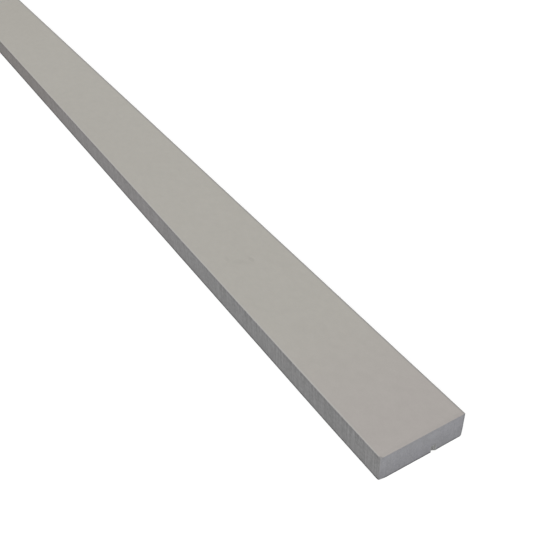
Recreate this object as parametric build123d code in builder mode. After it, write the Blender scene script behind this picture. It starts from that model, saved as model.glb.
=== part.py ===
from build123d import *
import os

# Trim board: one length of flat sawn stock, lying on its back face.
# X runs along the board, Y across its width and Z through its thickness.
# The origin is in the middle of the back face.

# Stock size, in millimetres
board_length = 2400.0
board_width = 57.0
board_thickness = 18.0

# Arrises: the four long edges are rounded over, the sawn ends are only eased
long_arris_radius = 0.5
end_arris = 0.2

# Kerf: one saw cut along the whole back, set in from the +Y edge
kerf_width = 3.0
kerf_depth = 5.0
kerf_from_edge = 20.3

kerf_centre = board_width / 2 - kerf_from_edge

with BuildPart() as trim_board:
    with BuildSketch(Plane.YZ.offset(-board_length / 2)) as section:
        Rectangle(board_width, board_thickness, align=(Align.CENTER, Align.MIN))
        fillet(section.vertices(), radius=long_arris_radius)
        with Locations((kerf_centre, 0)):
            Rectangle(kerf_width, kerf_depth, align=(Align.CENTER, Align.MIN), mode=Mode.SUBTRACT)
    extrude(amount=board_length)
    sawn_ends = trim_board.faces().filter_by(Axis.X)
    chamfer(sawn_ends.edges(), length=end_arris)

trim_board.part.label = "trim_board"

os.makedirs("parts", exist_ok=True)
export_step(trim_board.part, "parts/trim_board.step")
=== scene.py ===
import math

import bpy
import numpy as np
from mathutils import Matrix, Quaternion, Vector
from mathutils.geometry import delaunay_2d_cdt


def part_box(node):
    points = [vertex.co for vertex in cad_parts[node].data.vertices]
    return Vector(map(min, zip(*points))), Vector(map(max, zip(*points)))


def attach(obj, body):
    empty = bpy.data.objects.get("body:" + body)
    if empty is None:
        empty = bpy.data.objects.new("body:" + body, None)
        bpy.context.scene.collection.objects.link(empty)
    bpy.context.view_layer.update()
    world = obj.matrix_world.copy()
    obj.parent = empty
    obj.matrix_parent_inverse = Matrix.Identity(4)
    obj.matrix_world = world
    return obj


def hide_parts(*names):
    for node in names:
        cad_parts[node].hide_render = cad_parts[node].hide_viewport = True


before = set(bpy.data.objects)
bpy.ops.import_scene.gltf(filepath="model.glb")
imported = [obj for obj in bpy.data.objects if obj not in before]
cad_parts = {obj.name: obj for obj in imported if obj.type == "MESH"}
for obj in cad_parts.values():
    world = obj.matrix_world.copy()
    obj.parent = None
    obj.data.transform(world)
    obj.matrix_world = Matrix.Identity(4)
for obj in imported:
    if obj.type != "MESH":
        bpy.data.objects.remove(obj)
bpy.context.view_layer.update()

# Lengths are in metres; MM turns a size in millimetres into one
MM = 0.001

# The board: its overall size comes from the frame, its section repeats the part's own sizes
board_low, board_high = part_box("trim_board")
board_length, board_width, board_thickness = board_high - board_low
near_end_x = board_high.x
LONG_ARRIS_RADIUS = 0.5 * MM
END_ARRIS = 0.2 * MM
KERF_WIDTH = 3.0 * MM
KERF_DEPTH = 5.0 * MM
KERF_FROM_EDGE = 20.3 * MM
kerf_centre = board_width / 2 - KERF_FROM_EDGE
kerf_low = kerf_centre - KERF_WIDTH / 2
kerf_high = kerf_centre + KERF_WIDTH / 2

# Mesh fineness
STATION_PITCH = 0.9 * MM
ARRIS_STEPS = 3
END_ARRIS_STEPS = 2
EDGE_ROWS = 3
SUPPORT_STRIP = 0.4 * MM
END_GRID_PITCH = 1.1 * MM
END_GRID_MARGIN = 1.5 * END_GRID_PITCH
SHARP_TURN_DEG = 60

# Points of the end's grid are moved by up to this share of its pitch
END_GRID_JITTER = 0.25

# Relief of the sawn faces, cut into the board and never out of it
SAW_MARK_DEPTH = 0.04 * MM
SAW_MARK_LEAN = 0.06
SAW_MARK_PITCH = 2.0 * MM
SAW_MARK_SHARE = 0.4
SLOW_MARK_PITCH = 10 * MM
SLOW_MARK_SHARE = 0.1
END_ROUGHNESS_DEPTH = 0.06 * MM
END_MARK_LEAN = 0.35
END_MARK_PITCH = 2.2 * MM
END_MARK_SHARE = 0.2
END_GRAIN_SHARE = 0.2
ARRIS_WEAR_PITCH = 7 * MM
ARRIS_WEAR_DEPTH = 0.08 * MM

# Seeds of the random relief
LEFT_MARK_SEED = 11
RIGHT_MARK_SEED = 21
ARRIS_WEAR_SEED = 31
NEAR_END_SEED = 41
FAR_END_SEED = 51

# Sides that draw in towards the near end: side (-1 or 1), by how much at its foot and at its top
DRAWN_SIDES = ((-1, 0.42 * MM, 0.4 * MM), (1, 0.35 * MM, 0.0))
DRAW_IN_LENGTH = 48 * MM

# Worn corners of the near end: side (-1 or 1), foot (0) or top (1), how far cut off on X, Y and Z
WORN_CORNERS = (
    (-1, 0, (1.3 * MM, 5.2 * MM, 1.2 * MM)),
    (1, 0, (1.4 * MM, 1.4 * MM, 1.4 * MM)),
    (-1, 1, (1.1 * MM, 1.1 * MM, 1.1 * MM)),
)

# A point of the section, about where the longest cut leaves the foot, as a distance from its -Y side
WORN_FOOT_POINT = 4.5 * MM

# Gloss of the surfaces
ROUGHNESS = 0.9
COAT_SPECULAR = 0.05
RAW_SPECULAR = 0.15

# Tones of the surfaces, as 8-bit screen values; a pattern blends the two tones of a pair
COAT_TONES = ((172.5, 169.5, 163), (173.5, 170.5, 164))
COAT_NEAR_TONE = (170.5, 165.5, 161.5)
# Painted highlight along the show face's -Y edge and painted shade along its +Y edge
COAT_LEFT_HIGHLIGHT_TONE = (174.5, 172, 168)
COAT_RIGHT_SHADE_TONE = (150, 147.5, 144)
BARE_CORNER_TONE = (140, 138, 138)
EDGE_TONES = ((133, 132.5, 132.5), (149.5, 149, 149.5))
END_TONES = ((140.5, 140.5, 143.5), (143.5, 143.5, 147.5))
BACK_TONES = ((140, 139, 138), (150, 149, 147))
KERF_TONES = ((146, 145, 144), (158, 157, 156))
# Painted light that brightens the kerf's walls near its mouth
KERF_PAINTED_LIGHT_TONE = (208, 208, 207)

# A grain of this length, in metres, hardly changes in the direction square to its own face
EVEN = 1.0

# Patterns of noise: sizes of the grains along X, Y and Z, layers of detail, strength of the finer ones
COAT_BROAD = ((160 * MM, 70 * MM, 70 * MM), 2.0, 0.5)
COAT_MOTTLE = ((5.5 * MM, 4 * MM, 4 * MM), 3.0, 0.5)
COAT_SPECKLE = ((1.2 * MM, 1.0 * MM, 1.0 * MM), 3.0, 0.5)
COAT_GRAIN = ((0.6 * MM, 0.5 * MM, 0.5 * MM), 3.0, 0.5)
SPOT_PATCHES = ((2.2 * MM, 1.6 * MM, 1.6 * MM), 2.0, 0.5)
EDGE_MARKS = ((1.0 * MM, EVEN, 30 * MM), 2.0, 0.6)
EDGE_SPECKLE = ((2 * MM, 2 * MM, 2 * MM), 4.0, 0.7)
END_MARKS = ((EVEN, 1.8 * MM, 14 * MM), 2.0, 0.6)
END_BLOTCHES = ((6 * MM, 6 * MM, 4 * MM), 2.0, 0.5)
END_GRAINS = ((1.2 * MM, 1.1 * MM, 1.1 * MM), 3.0, 0.6)
BACK_BROAD = ((40 * MM, 25 * MM, 25 * MM), 3.0, 0.5)
BACK_SPECKLE = ((0.9 * MM, 0.9 * MM, 0.9 * MM), 3.0, 0.5)
KERF_SCORES = ((12 * MM, 0.8 * MM, 0.8 * MM), 3.0, 0.6)

# Noise runs from 0 to 1, and most of it lies between these two values
NOISE_MIDDLE = (0.3, 0.7)

# Levels between which a pattern varies a colour; on the end, painted shade varies it with the height,
# darker towards the foot and lighter towards the top
COAT_MOTTLE_LEVELS = (0.957, 1.043)
COAT_SPECKLE_LEVELS = (0.965, 1.035)
EDGE_SPECKLE_LEVELS = (0.6, 1.4)
END_BLOTCH_LEVELS = (0.96, 1.04)
END_GRAIN_LEVELS = (0.72, 1.28)
# Painted shade on the sawn end: darker towards the foot, lighter towards the top
END_SHADE_LEVELS = (0.92, 1.075)
BACK_SPECKLE_LEVELS = (0.9, 1.1)

# Depth of the finest relief, which is left to the materials
COAT_BUMP = 0.02 * MM
EDGE_BUMP = 0.03 * MM
END_BUMP = 0.06 * MM
BACK_BUMP = 0.04 * MM
KERF_BUMP = 0.05 * MM

# Show face: where its pinker tint fades out and where it dims, as distances from the near end
NEAR_TINT = (0.0, 130 * MM)
DIM_STRETCH = (560 * MM, 740 * MM)
DIM_LEVEL = (0.975, 0.971, 0.966, 1)

# Bare -Y corner of the near end: where it fades out, as distances from the end and the side added up
BARE_CORNER = (2.0 * MM, 3.0 * MM)

# Scuffs on the show face, and a dent painted in as a dark spot and a painted highlight: distance from
# the near end, place across, half length, half width, turn, level
SCUFFS_AND_DENT_SHADING = (
    (182 * MM, -6 * MM, 10 * MM, 4 * MM, 50, 0.97),
    # The next two paint a small dent: a dark spot, and beside it a painted highlight where its side
    # faces the light
    (180.5 * MM, 1.5 * MM, 4 * MM, 2 * MM, 10, 0.915),
    (182 * MM, 3.5 * MM, 4 * MM, 1.5 * MM, 10, 1.035),
    (190 * MM, -12 * MM, 5.5 * MM, 1.5 * MM, -12, 0.96),
    (121 * MM, -5 * MM, 8 * MM, 4.5 * MM, 40, 0.985),
    (101 * MM, -3 * MM, 15 * MM, 6.5 * MM, 50, 0.988),
)

# A scuff, or a spot of the painted dent, is at its full strength within this share of its reach
SPOT_CORE = 0.3

# A pattern breaks the scuffs and the painted dent up: between which of its values, and their strength at
# each
SPOT_BREAKS = (0.3, 0.55, 0.5, 1.0)

# Long edges: where they turn warmer and then duller, as distances from the near end
WARM_STRETCH = (180 * MM, 300 * MM)
WARM_LEVEL = (1.025, 1.0, 0.995, 1)
DULL_STRETCH = (380 * MM, 560 * MM)
DULL_LEVEL = (0.915, 0.89, 0.865, 1)

# Darker lines along the edges: between which distances each fades out, and its level
COAT_END_BAND = (0.0, 3.2 * MM, 0.945)
COAT_END_LINE = (0.15 * MM, 0.6 * MM, 0.9)
# Painted shade just under the long edges' top arris
EDGE_TOP_SHADE = (1.0 * MM, 2.6 * MM, 0.9)
# Painted contact shadow along the long edges' foot
EDGE_FOOT_SHADE = (0.8 * MM, 2.1 * MM, 0.4)
END_TOP_LINE = (1.2 * MM, 2.6 * MM, 0.965)
END_SIDE_LINE = (0.5 * MM, 1.6 * MM, 0.78)
# Painted contact shadow along the end's foot
END_FOOT_SHADE = (0.55 * MM, 1.4 * MM, 0.4)
# Painted shade on the kerf's walls right at its mouth
KERF_MOUTH_SHADE = (0.2 * MM, 1.8 * MM, 0.5)

# Painted highlight and painted shade along the show face's long edges, and painted light on the kerf's
# walls near its mouth, each in its own tone: where they fade out
COAT_LONG_LINE = (0.7 * MM, 1.4 * MM)
KERF_PAINTED_LIGHT = (1.2 * MM, 6.0 * MM)

# The painted shade lines along the board grow wider over this length from the near end, to this many
# times
LINE_GROWTH_LENGTH = 650 * MM
LINE_GROWTH = 1.6

# The camera of the photograph: where its axis meets the top face, from where, and how far
VIEW_FROM_NEAR_END = 163.7 * MM
VIEW_OFF_CENTRE = 5.9 * MM
VIEW_DISTANCE = 532.9 * MM
VIEW_OFF_LENGTH_DEG = 29.84
VIEW_DOWN_DEG = 37.81
VIEW_ROLL_DEG = 2.23
LENS_MM = 53.82
SENSOR_MM = 36.0
NEAREST_VIEW = 10 * MM

# Studio light: an even dome and one wide key lamp from the front left, together 1 on a level face
DOME_LEVEL = 0.5
KEY_LEVEL = 0.5
KEY_FROM = Vector((0.60, -0.40, 0.69))
KEY_SPREAD_DEG = 50

# Where the dome itself is seen, it is white
DOME_SEEN_LEVEL = 1.0

# Floor: pale, with enough added where it is seen directly to read as white, and a painted shadow under
# the board, dark grey with a faint even glow where it is seen directly
FLOOR_SIZE = 60.0
FLOOR_GREY = 0.5
FLOOR_LIFT = 0.6
# Painted shadow under the board: its grey, and the glow it shows where seen directly
PAINTED_SHADOW_GREY = 0.05
PAINTED_SHADOW_LIFT = 0.155

# How far the pale floor reaches in under the board's sides before the painted shadow starts, and how
# softly it ends
SIDE_REACH = 1.2 * MM
FLOOR_BLUR = 0.4 * MM

# How far it reaches in under the ends: on the -Y side of the kerf, at the kerf's +Y wall, and on the
# +Y side, where it regains its reach over a spread
LEFT_END_REACH = 1.75 * MM
KERF_WALL_REACH = 0.0
RIGHT_END_REACH = 0.6 * MM
WALL_REACH_SPREAD = 12 * MM

# Unwrapped skin: the board's length in rows of equal length, with a gap between them
MAP_ROWS = 4
MAP_GAP = 3 * MM


def smooth_noise(x, pitch, seed):
    """Seeded random values every pitch along x, joined by a smooth line, between -1 and 1."""
    cells = x / pitch
    whole = np.floor(cells).astype(int)
    first = whole.min()
    values = np.random.default_rng(seed).uniform(-1, 1, whole.max() - first + 2)
    share = cells - whole
    share = share * share * (3 - 2 * share)
    low = values[whole - first]
    high = values[whole - first + 1]
    return low + (high - low) * share


# Section of the board

def quarter(centre_y, centre_z, start_deg):
    """Points of one rounded arris, turning a quarter circle from start_deg."""
    turn = np.radians(np.linspace(start_deg, start_deg + 90, ARRIS_STEPS + 1))
    return [
        (centre_y + LONG_ARRIS_RADIUS * math.cos(a), centre_z + LONG_ARRIS_RADIUS * math.sin(a))
        for a in turn
    ]


def section_stretches():
    """The section as (finish, points) stretches, counter-clockwise seen from the near end."""
    half = board_width / 2
    r = LONG_ARRIS_RADIUS
    flat = half - r
    strip = flat - SUPPORT_STRIP
    worn = half - WORN_FOOT_POINT
    top = board_thickness
    rows = [r, *np.linspace(r + SUPPORT_STRIP, top - r - SUPPORT_STRIP, EDGE_ROWS + 1), top - r]
    right_arris = quarter(flat, top - r, 0)
    left_arris = quarter(-flat, top - r, 90)
    return [
        ("back", [(-flat, 0), (-strip, 0), (-worn, 0), (kerf_low, 0)]),
        ("kerf", [(kerf_low, 0), (kerf_low, KERF_DEPTH)]),
        ("kerf", [(kerf_low, KERF_DEPTH), (kerf_high, KERF_DEPTH)]),
        ("kerf", [(kerf_high, KERF_DEPTH), (kerf_high, 0)]),
        ("back", [(kerf_high, 0), (strip, 0), (flat, 0)]),
        ("edge", quarter(flat, r, -90)),
        ("edge", [(half, z) for z in rows]),
        ("edge", right_arris[:-1]),
        ("coat", right_arris[-2:]),
        ("coat", [(flat, top), (strip, top), (-strip, top), (-flat, top)]),
        ("coat", left_arris[:2]),
        ("edge", left_arris[1:]),
        ("edge", [(-half, z) for z in reversed(rows)]),
        ("edge", quarter(-flat, r, 180)),
    ]


class Section:
    """The section's closed outline: its points, the finish of each side and the outward directions."""

    def __init__(self):
        points = []
        self.finishes = []
        for finish, stretch in section_stretches():
            points += stretch[:-1]
            self.finishes += [finish] * (len(stretch) - 1)
        self.points = np.array(points)
        self.count = len(points)
        side = np.roll(self.points, -1, axis=0) - self.points
        lengths = np.linalg.norm(side, axis=1)
        self.around = np.concatenate([[0], np.cumsum(lengths)])
        after = np.stack([side[:, 1], -side[:, 0]], axis=1) / lengths[:, None]
        before = np.roll(after, 1, axis=0)
        turn = (after * before).sum(axis=1)
        # Moving every point by its mitre moves each side of the outline by one
        self.mitres = (after + before) / (1 + turn)[:, None]
        self.normals = self.mitres / np.linalg.norm(self.mitres, axis=1)[:, None]
        self.sharp = turn < math.cos(math.radians(SHARP_TURN_DEG))


# Shape of the board along its length

def stations():
    """Places along the board and how far the section is drawn in there, with rounded ends."""
    turn = np.linspace(0, math.pi / 2, END_ARRIS_STEPS + 1)[1:]
    half = board_length / 2 - END_ARRIS
    inner = half - SUPPORT_STRIP
    count = round(2 * inner / STATION_PITCH)
    places = np.concatenate([[-half], np.linspace(-inner, inner, count + 1), [half]])
    end_places = half + END_ARRIS * np.sin(turn)
    end_insets = END_ARRIS * (1 - np.cos(turn))
    along = np.concatenate([-end_places[::-1], places, end_places])
    insets = np.concatenate([end_insets[::-1], np.zeros(len(places)), end_insets])
    return along, insets


def saw_marks(along, up, seed):
    """Depth of the marks that the saw left across an edge, from 0 to 1."""
    place = along + SAW_MARK_LEAN * up
    marks = smooth_noise(place, SAW_MARK_PITCH / 2, seed)
    slow = smooth_noise(place, SLOW_MARK_PITCH, seed + 1)
    return 0.5 + SAW_MARK_SHARE * marks + SLOW_MARK_SHARE * slow


def relief(along, section):
    """Depth of the relief at each station and outline point, into the board."""
    x, y = np.meshgrid(along, section.points[:, 0], indexing="ij")
    z = np.broadcast_to(section.points[:, 1], x.shape)
    left = saw_marks(x, z, LEFT_MARK_SEED)
    right = saw_marks(x, z, RIGHT_MARK_SEED)
    marks = np.where(y < 0, left, right) * SAW_MARK_DEPTH
    sideways = section.normals[:, 0] ** 2
    worn = 0.5 + 0.5 * smooth_noise(along, ARRIS_WEAR_PITCH, ARRIS_WEAR_SEED)
    diagonal = (2 * section.normals[:, 0] * section.normals[:, 1]) ** 2
    on_arris = np.where(section.sharp, 0, diagonal)
    return marks * sideways + ARRIS_WEAR_DEPTH * worn[:, None] * on_arris


def wear_corners(yz, along):
    """Cuts the worn corners of the near end off: points outside a corner's plane move onto it."""
    from_end = (near_end_x - along)[:, None]
    for side, top, (reach_x, reach_y, reach_z) in WORN_CORNERS:
        from_side = board_width / 2 - side * yz[..., 0]
        from_face = board_thickness - yz[..., 1] if top else yz[..., 1]
        outside = np.clip(1 - from_end / reach_x - from_side / reach_y - from_face / reach_z, 0, None)
        step = outside / (reach_y ** -2 + reach_z ** -2)
        yz[..., 0] -= side * step / reach_y
        yz[..., 1] += (-step if top else step) / reach_z


def draw_sides_in(yz, along, section):
    """Draws the long sides in towards the near end."""
    taper = np.clip(1 - (near_end_x - along) / DRAW_IN_LENGTH, 0, 1)[:, None]
    for side, at_foot, at_top in DRAWN_SIDES:
        on_side = side * section.points[:, 0] > board_width / 4
        depth = np.interp(section.points[:, 1], (0, board_thickness), (at_foot, at_top))
        yz[..., 0] -= side * taper * depth * on_side


def skin_points(along, insets, section):
    """The outline's points (y, z) at each station, with the relief and the wear."""
    depth = relief(along, section)
    drawn_in = insets[:, None, None] * section.mitres + depth[..., None] * section.normals
    yz = section.points - drawn_in
    wear_corners(yz, along)
    draw_sides_in(yz, along, section)
    return yz


def end_cap(outline, seed):
    """Inner points (y, z) of a sawn end, their depths, and triangles over outline and inner points."""
    half = board_width / 2 - END_GRID_MARGIN
    across = np.arange(-half, half, END_GRID_PITCH)
    up = np.arange(END_GRID_PITCH, board_thickness - END_GRID_PITCH / 2, END_GRID_PITCH)
    grid = np.stack(np.meshgrid(across, up, indexing="ij"), axis=-1).reshape(-1, 2)
    rng = np.random.default_rng(seed)
    grid += rng.uniform(-END_GRID_JITTER, END_GRID_JITTER, grid.shape) * END_GRID_PITCH
    beside = np.abs(grid[:, 0] - kerf_centre) > KERF_WIDTH / 2 + END_GRID_PITCH / 2
    above = grid[:, 1] > KERF_DEPTH + END_GRID_PITCH / 2
    inner = grid[beside | above]
    marks = smooth_noise(inner[:, 0] + END_MARK_LEAN * inner[:, 1], END_MARK_PITCH / 2, seed + 1)
    grains = rng.uniform(-1, 1, len(inner))
    depths = END_ROUGHNESS_DEPTH * (0.5 + END_MARK_SHARE * marks + END_GRAIN_SHARE * grains)
    flat = [Vector(p) for p in np.concatenate([outline, inner])]
    keep_inside = 1
    merge_within = 1e-9
    found = delaunay_2d_cdt(flat, [], [list(range(len(outline)))], keep_inside, merge_within)
    return inner, depths, np.array(found[2])


# Mesh of the board

def skin_quads(station_count, section):
    """Point numbers of the skin's faces."""
    n = section.count
    station, side = np.meshgrid(np.arange(station_count - 1), np.arange(n), indexing="ij")
    here = station * n + side
    beside = station * n + (side + 1) % n
    return np.stack([here, beside, beside + n, here + n], axis=-1).reshape(-1, 4)


def map_side(section):
    """Side of the square that the unwrapped board fills, in metres."""
    rows = MAP_ROWS * (section.around[-1] + MAP_GAP) + board_thickness + 2 * MAP_GAP
    return max(rows, board_length / MAP_ROWS + 3 * MAP_GAP)


def skin_map(along, section):
    """Place of each corner of the skin's faces on the unwrapped board."""
    station, side = np.meshgrid(np.arange(len(along) - 1), np.arange(section.count), indexing="ij")
    row = station * MAP_ROWS // (len(along) - 1)
    start = along[0] + row * board_length / MAP_ROWS
    base = row * (section.around[-1] + MAP_GAP) + MAP_GAP
    here = along[station] - start + MAP_GAP
    next_here = along[station + 1] - start + MAP_GAP
    low = base + section.around[side]
    high = base + section.around[side + 1]
    corners = [(here, low), (here, high), (next_here, high), (next_here, low)]
    return np.stack([np.stack(c, axis=-1) for c in corners], axis=2).reshape(-1, 2)


def cap_map(flat, outward, section):
    """Place of points of a sawn end on the unwrapped board, beside the other end."""
    middle = board_width / 2 + MAP_GAP if outward > 0 else 1.5 * board_width + 2 * MAP_GAP
    base = MAP_ROWS * (section.around[-1] + MAP_GAP) + MAP_GAP
    return flat + (middle, base)


def mark_sharp_edges(mesh, section, station_count):
    """Keeps the kerf's corners and the rims of the sawn ends crisp."""
    ends = np.empty(2 * len(mesh.edges), np.int32)
    mesh.edges.foreach_get("vertices", ends)
    ends = ends.reshape(-1, 2)
    n = section.count
    on_skin = (ends < station_count * n).all(axis=1)
    row, point = np.divmod(ends, n)
    corner = on_skin & (point[:, 0] == point[:, 1]) & section.sharp[point[:, 0]]
    rim = on_skin & (row[:, 0] == row[:, 1]) & np.isin(row[:, 0], (0, station_count - 1))
    mesh.attributes.new("sharp_edge", "BOOLEAN", "EDGE").data.foreach_set("value", corner | rim)


def build_board(finishes):
    """The board as one closed mesh object, with the finishes as its materials."""
    section = Section()
    along, insets = stations()
    yz = skin_points(along, insets, section)
    x = np.broadcast_to(along[:, None, None], (*yz.shape[:2], 1))
    skin = np.concatenate([x, yz], axis=-1).reshape(-1, 3)
    slot_of = {name: i for i, name in enumerate(finishes)}
    skin_slots = np.tile([slot_of[name] for name in section.finishes], (len(along) - 1, 1))

    points = [skin]
    faces = skin_quads(len(along), section).tolist()
    slots = [skin_slots.ravel()]
    places = [skin_map(along, section)]
    first_inner = len(skin)
    for row, outward, seed in ((len(along) - 1, 1, NEAR_END_SEED), (0, -1, FAR_END_SEED)):
        inner, depths, triangles = end_cap(yz[row], seed)
        triangles = triangles[:, ::outward]
        points.append(np.column_stack([along[row] - outward * depths, inner]))
        rim = row * section.count + np.arange(section.count)
        index = np.concatenate([rim, first_inner + np.arange(len(inner))])
        faces += index[triangles].tolist()
        slots.append(np.full(len(triangles), slot_of["end"]))
        flat = np.concatenate([yz[row], inner])[triangles].reshape(-1, 2)
        places.append(cap_map(flat, outward, section))
        first_inner += len(inner)

    mesh = bpy.data.meshes.new("trim_board_finished")
    mesh.from_pydata(np.concatenate(points).tolist(), [], faces)
    for material in finishes.values():
        mesh.materials.append(material)
    mesh.polygons.foreach_set("material_index", np.concatenate(slots).astype(np.int32))
    mesh.polygons.foreach_set("use_smooth", np.ones(len(faces), bool))
    mark_sharp_edges(mesh, section, len(along))
    mapped = np.concatenate(places) / map_side(section)
    mesh.uv_layers.new(name="OFBake").uv.foreach_set("vector", mapped.astype(np.float32).ravel())
    mesh.update()
    board = bpy.data.objects.new("trim_board_finished", mesh)
    bpy.context.collection.objects.link(board)
    return board


# Nodes and materials

def tone(screen):
    """A colour given as 8-bit screen values, as the linear colour that a shader takes (sRGB's curve)."""
    levels = [v / 255 for v in screen]
    return [v / 12.92 if v <= 0.04045 else ((v + 0.055) / 1.055) ** 2.4 for v in levels] + [1.0]


class Nodes:
    """Short calls for the nodes of one material or world."""

    def __init__(self, tree):
        self.tree = tree

    def feed(self, socket, value):
        """Links an input to the output that feeds it, or sets it to a plain value."""
        if isinstance(value, bpy.types.NodeSocket):
            self.tree.links.new(value, socket)
        else:
            socket.default_value = value

    def add(self, kind, inputs, **settings):
        """A new node with its settings and inputs, given as its outputs."""
        node = self.tree.nodes.new(kind)
        for key, value in settings.items():
            setattr(node, key, value)
        for key, value in inputs.items():
            self.feed(node.inputs[key], value)
        return node.outputs

    def math(self, operation, first, second=0.0, clamp=False):
        """The result of one operation on two values, or on the first alone."""
        return self.add("ShaderNodeMath", {0: first, 1: second}, operation=operation, use_clamp=clamp)[0]

    def remap(self, value, start, end, low, high, kind="LINEAR"):
        """Low to high where a value goes from start to end, and no further beyond."""
        inputs = {"Value": value, "From Min": start, "From Max": end, "To Min": low, "To Max": high}
        return self.add("ShaderNodeMapRange", inputs, interpolation_type=kind)["Result"]

    def fade(self, value, start, end, low=0.0, high=1.0):
        """The same, easing in and out."""
        return self.remap(value, start, end, low, high, "SMOOTHSTEP")

    def axes(self, place):
        """The X, Y and Z of a place."""
        return self.add("ShaderNodeSeparateXYZ", {"Vector": place})

    def from_ends(self, x):
        """Distance of an X from the nearer end of the board, less than 0 beyond it."""
        return self.math("SUBTRACT", board_length / 2, self.math("ABSOLUTE", x))


class Finish(Nodes):
    """A material with one Principled shader, and short calls for the patterns that feed it."""

    def __init__(self, name, specular):
        self.material = bpy.data.materials.new(name)
        self.material.use_nodes = True
        super().__init__(self.material.node_tree)
        self.surface = self.tree.nodes["Principled BSDF"].inputs
        self.surface["Roughness"].default_value = ROUGHNESS
        self.surface["Specular IOR Level"].default_value = specular
        self.place = self.add("ShaderNodeTexCoord", {})["Object"]
        self.x, self.y, self.z = self.axes(self.place)

    def noise(self, grain, detail, rough):
        """Noise with grains of these sizes along X, Y and Z, between 0 and 1."""
        scale = [1 / g for g in grain]
        place = self.add("ShaderNodeMapping", {"Vector": self.place, "Scale": scale})[0]
        inputs = {"Vector": place, "Scale": 1.0, "Detail": detail, "Roughness": rough}
        return self.add("ShaderNodeTexNoise", inputs)["Fac"]

    def mix(self, factor, first, second, kind="MIX"):
        """Two colours mixed by a factor."""
        inputs = {0: factor, 6: first, 7: second}
        return self.add("ShaderNodeMix", inputs, data_type="RGBA", blend_type=kind)[2]

    def blend(self, pattern, tones):
        """A colour that eases from the first tone to the second with a pattern."""
        first, second = tones
        return self.mix(self.fade(pattern, *NOISE_MIDDLE), tone(first), tone(second))

    def dim(self, colour, level):
        """A colour made darker or lighter by a level."""
        return self.mix(1.0, colour, level, "MULTIPLY")

    def vary(self, colour, pattern, levels):
        """A colour that goes from one level to another with a pattern."""
        return self.dim(colour, self.remap(pattern, 0, 1, *levels))

    def line(self, colour, distance, start, end, level):
        """A colour brought to a level along an edge, fading out between two distances from it."""
        return self.dim(colour, self.fade(distance, start, end, level, 1.0))

    def tint(self, colour, distance, reach, screen):
        """A colour that gives way to a tone along an edge, which fades out between two distances."""
        return self.mix(self.fade(distance, *reach, 1.0, 0.0), colour, tone(screen))

    def change(self, colour, stretch, level):
        """A colour that comes to a level over a stretch of distances from the near end."""
        return self.mix(self.fade(self.from_near_end(), *stretch), colour, self.dim(colour, level))

    def spot(self, middle, along, wide, turn_deg):
        """1 in the middle of a soft-edged oval on the show face, 0 outside it."""
        inputs = {
            "Vector": self.place,
            "Location": (*middle, 0),
            "Rotation": (0, 0, math.radians(turn_deg)),
            "Scale": (along, wide, 1),
        }
        place = self.add("ShaderNodeMapping", inputs, vector_type="TEXTURE")[0]
        flat = self.add("ShaderNodeVectorMath", {0: place, 1: (1, 1, 0)}, operation="MULTIPLY")[0]
        reach = self.add("ShaderNodeVectorMath", {0: flat}, operation="LENGTH")["Value"]
        return self.fade(reach, 1.0, SPOT_CORE)

    def from_near_end(self):
        """Distance from the near end."""
        return self.math("SUBTRACT", near_end_x, self.x)

    def from_right(self):
        """Distance from the +Y side."""
        return self.math("SUBTRACT", board_width / 2, self.y)

    def from_top(self):
        """Distance from the show face."""
        return self.math("SUBTRACT", board_thickness, self.z)

    def narrowed(self, distance):
        """A distance from a long edge, made less where the painted shade lines along the edge are wider.
        """
        growth = self.remap(self.from_near_end(), 0.0, LINE_GROWTH_LENGTH, 1.0, LINE_GROWTH)
        return self.math("DIVIDE", distance, growth)

    def done(self, colour, height, depth):
        """The finished material, with this colour and with fine relief of this depth in metres."""
        self.feed(self.surface["Base Color"], colour)
        bump = self.add("ShaderNodeBump", {"Height": height, "Distance": depth})["Normal"]
        self.feed(self.surface["Normal"], bump)
        return self.material


def add_scuffs_and_dent_shading(coat, colour):
    """The coat's colour with the scuffs, and a small dent painted in as a dark spot with a painted
    highlight, on it.
    """
    broken = coat.fade(coat.noise(*SPOT_PATCHES), *SPOT_BREAKS)
    for from_near_end, from_middle, along, wide, turn_deg, level in SCUFFS_AND_DENT_SHADING:
        middle = (near_end_x - from_near_end, from_middle)
        mask = coat.math("MULTIPLY", coat.spot(middle, along, wide, turn_deg), broken)
        colour = coat.vary(colour, mask, (1.0, level))
    return colour


def coat_finish():
    """Smooth matt warm grey coat on the show face, with a few scuffs, a dent painted in with a painted
    highlight, and a painted highlight and painted shade along its long edges.
    """
    coat = Finish("warm_grey_coat", COAT_SPECULAR)
    colour = coat.blend(coat.noise(*COAT_BROAD), COAT_TONES)
    colour = coat.tint(colour, coat.from_near_end(), NEAR_TINT, COAT_NEAR_TONE)
    colour = coat.change(colour, DIM_STRETCH, DIM_LEVEL)
    colour = coat.vary(colour, coat.noise(*COAT_SPECKLE), COAT_SPECKLE_LEVELS)
    colour = coat.vary(colour, coat.noise(*COAT_MOTTLE), COAT_MOTTLE_LEVELS)
    colour = add_scuffs_and_dent_shading(coat, colour)
    from_ends = coat.from_ends(coat.x)
    colour = coat.line(colour, from_ends, *COAT_END_BAND)
    colour = coat.line(colour, from_ends, *COAT_END_LINE)
    from_left = coat.math("ADD", coat.y, board_width / 2)
    # Painted highlight along the -Y edge, painted shade along the +Y edge
    colour = coat.tint(colour, from_left, COAT_LONG_LINE, COAT_LEFT_HIGHLIGHT_TONE)
    colour = coat.tint(colour, coat.narrowed(coat.from_right()), COAT_LONG_LINE, COAT_RIGHT_SHADE_TONE)
    from_corner = coat.math("ADD", coat.from_near_end(), from_left)
    colour = coat.tint(colour, from_corner, BARE_CORNER, BARE_CORNER_TONE)
    return coat.done(colour, coat.noise(*COAT_GRAIN), COAT_BUMP)


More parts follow.
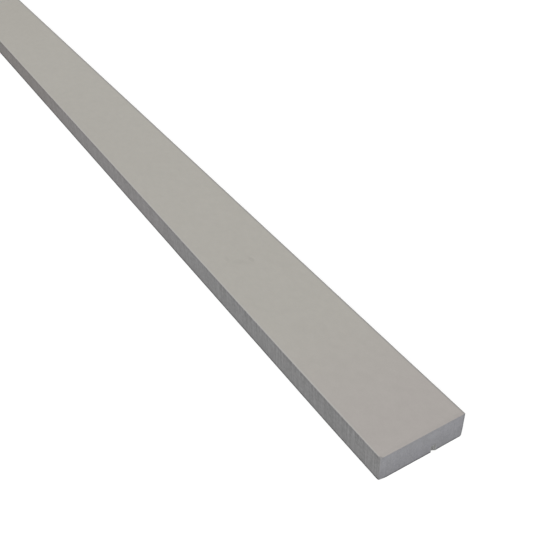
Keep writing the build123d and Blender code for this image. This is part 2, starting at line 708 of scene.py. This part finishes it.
def edge_finish():
    """Sawn long edge: raw grey with fine marks across the thickness, painted shade under the top arris
    and a painted contact shadow along the foot.
    """
    edge = Finish("sawn_edge", RAW_SPECULAR)
    marks = edge.noise(*EDGE_MARKS)
    colour = edge.blend(marks, EDGE_TONES)
    colour = edge.vary(colour, edge.noise(*EDGE_SPECKLE), EDGE_SPECKLE_LEVELS)
    colour = edge.change(colour, WARM_STRETCH, WARM_LEVEL)
    colour = edge.change(colour, DULL_STRETCH, DULL_LEVEL)
    # Painted shade under the top arris and painted contact shadow along the foot
    colour = edge.line(colour, edge.narrowed(edge.from_top()), *EDGE_TOP_SHADE)
    colour = edge.line(colour, edge.narrowed(edge.z), *EDGE_FOOT_SHADE)
    return edge.done(colour, marks, EDGE_BUMP)


def end_finish():
    """Sawn end: raw grey, a little cooler, with fine grains, soft blotches and faint upright marks,
    painted shade darker towards the foot and a painted contact shadow along it.
    """
    end = Finish("sawn_end", RAW_SPECULAR)
    colour = end.blend(end.noise(*END_MARKS), END_TONES)
    colour = end.dim(colour, end.fade(end.noise(*END_BLOTCHES), *NOISE_MIDDLE, *END_BLOTCH_LEVELS))
    grains = end.noise(*END_GRAINS)
    colour = end.vary(colour, grains, END_GRAIN_LEVELS)
    # Painted shade: darker towards the foot, lighter towards the top
    colour = end.dim(colour, end.fade(end.z, 0.0, board_thickness, *END_SHADE_LEVELS))
    colour = end.line(colour, end.from_top(), *END_TOP_LINE)
    colour = end.line(colour, end.from_right(), *END_SIDE_LINE)
    # Painted contact shadow along the foot
    colour = end.line(colour, end.z, *END_FOOT_SHADE)
    return end.done(colour, grains, END_BUMP)


def back_finish():
    """Uncoated back, plain grey."""
    back = Finish("raw_back", RAW_SPECULAR)
    colour = back.blend(back.noise(*BACK_BROAD), BACK_TONES)
    speckle = back.noise(*BACK_SPECKLE)
    colour = back.vary(colour, speckle, BACK_SPECKLE_LEVELS)
    return back.done(colour, speckle, BACK_BUMP)


def kerf_finish():
    """Walls of the saw kerf: raw grey, scored along the board, with painted light near its mouth and
    painted shade right at it.
    """
    kerf = Finish("kerf_wall", RAW_SPECULAR)
    scores = kerf.noise(*KERF_SCORES)
    colour = kerf.blend(scores, KERF_TONES)
    from_ends = kerf.from_ends(kerf.x)
    # Painted light near the kerf's mouth, then painted shade right at it
    colour = kerf.tint(colour, from_ends, KERF_PAINTED_LIGHT, KERF_PAINTED_LIGHT_TONE)
    colour = kerf.line(colour, from_ends, *KERF_MOUTH_SHADE)
    return kerf.done(colour, scores, KERF_BUMP)


finishes = {
    "coat": coat_finish(),
    "edge": edge_finish(),
    "end": end_finish(),
    "back": back_finish(),
    "kerf": kerf_finish(),
}
board = build_board(finishes)
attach(board, "root")
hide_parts("trim_board")


# Stage

def seen_directly(nodes):
    """1 for rays that show the background: from the camera, in a reflection or through glass."""
    path = nodes.add("ShaderNodeLightPath", {})
    total = path["Is Camera Ray"]
    for name in ("Is Glossy Ray", "Is Transmission Ray"):
        total = nodes.math("ADD", total, path[name], clamp=True)
    return total


def beside_board(nodes):
    """1 on the floor beside the board and a little way in under it, 0 further in, where the floor
    carries the painted shadow.
    """
    x, y, _ = nodes.axes(nodes.add("ShaderNodeNewGeometry", {})["Position"])
    to_wall = nodes.remap(y, kerf_low, kerf_high, LEFT_END_REACH, KERF_WALL_REACH)
    regained = RIGHT_END_REACH - KERF_WALL_REACH
    past_wall = nodes.remap(y, kerf_high, kerf_high + WALL_REACH_SPREAD, 0.0, regained)
    end_reach = nodes.math("ADD", to_wall, past_wall)
    past_end = nodes.math("SUBTRACT", nodes.from_ends(x), end_reach)
    from_sides = nodes.math("SUBTRACT", board_width / 2, nodes.math("ABSOLUTE", y))
    past_side = nodes.math("SUBTRACT", from_sides, SIDE_REACH)
    past = nodes.math("MINIMUM", past_end, past_side)
    return nodes.remap(past, -FLOOR_BLUR / 2, FLOOR_BLUR / 2, 1.0, 0.0)


def add_floor():
    """A wide pale floor that reads as white and keeps the board's shadow, with a painted shadow under
    the board.
    """
    material = bpy.data.materials.new("pale_floor")
    material.use_nodes = True
    material.node_tree.nodes.clear()
    nodes = Nodes(material.node_tree)
    beside = beside_board(nodes)
    # Painted shadow under the board: dark grey, with a faint flat glow where seen directly
    grey = nodes.remap(beside, 0, 1, PAINTED_SHADOW_GREY, FLOOR_GREY)
    full_lift = nodes.remap(beside, 0, 1, PAINTED_SHADOW_LIFT, FLOOR_LIFT)
    lift = nodes.math("MULTIPLY", full_lift, seen_directly(nodes))
    diffuse = nodes.add("ShaderNodeBsdfDiffuse", {"Color": grey})[0]
    glow = nodes.add("ShaderNodeEmission", {"Strength": lift})[0]
    both = nodes.add("ShaderNodeAddShader", {0: diffuse, 1: glow})[0]
    nodes.add("ShaderNodeOutputMaterial", {"Surface": both})
    bpy.ops.mesh.primitive_plane_add(size=FLOOR_SIZE, location=(0, 0, board_low.z))
    floor = bpy.context.object
    floor.name = "floor"
    floor.data.materials.append(material)


def add_light():
    """An even dome that shows as white, and one wide key lamp."""
    world = bpy.data.worlds.new("studio")
    world.use_nodes = True
    nodes = Nodes(world.node_tree)
    background = world.node_tree.nodes["Background"].inputs
    background["Color"].default_value = (1, 1, 1, 1)
    strength = nodes.remap(seen_directly(nodes), 0, 1, DOME_LEVEL, DOME_SEEN_LEVEL)
    nodes.feed(background["Strength"], strength)
    bpy.context.scene.world = world

    towards = KEY_FROM.normalized()
    key = bpy.data.lights.new("key", "SUN")
    key.angle = math.radians(KEY_SPREAD_DEG)
    key.energy = KEY_LEVEL * math.pi / towards.z
    lamp = bpy.data.objects.new("key", key)
    lamp.rotation_euler = towards.to_track_quat("Z", "Y").to_euler()
    bpy.context.collection.objects.link(lamp)


def add_camera():
    """The photograph's camera."""
    heading = math.radians(VIEW_OFF_LENGTH_DEG)
    down = math.radians(VIEW_DOWN_DEG)
    level = math.cos(down)
    forward = Vector((-math.cos(heading) * level, math.sin(heading) * level, -math.sin(down)))
    target = Vector((near_end_x - VIEW_FROM_NEAR_END, VIEW_OFF_CENTRE, board_high.z))
    data = bpy.data.cameras.new("camera")
    data.sensor_width = SENSOR_MM
    data.lens = LENS_MM
    data.clip_start = NEAREST_VIEW
    camera = bpy.data.objects.new("camera", data)
    camera.location = target - VIEW_DISTANCE * forward
    roll = Quaternion((0, 0, 1), -math.radians(VIEW_ROLL_DEG))
    camera.rotation_mode = "QUATERNION"
    camera.rotation_quaternion = forward.to_track_quat("-Z", "Y") @ roll
    bpy.context.collection.objects.link(camera)
    bpy.context.scene.camera = camera


add_floor()
add_light()
add_camera()
bpy.context.scene.view_settings.view_transform = "Standard"
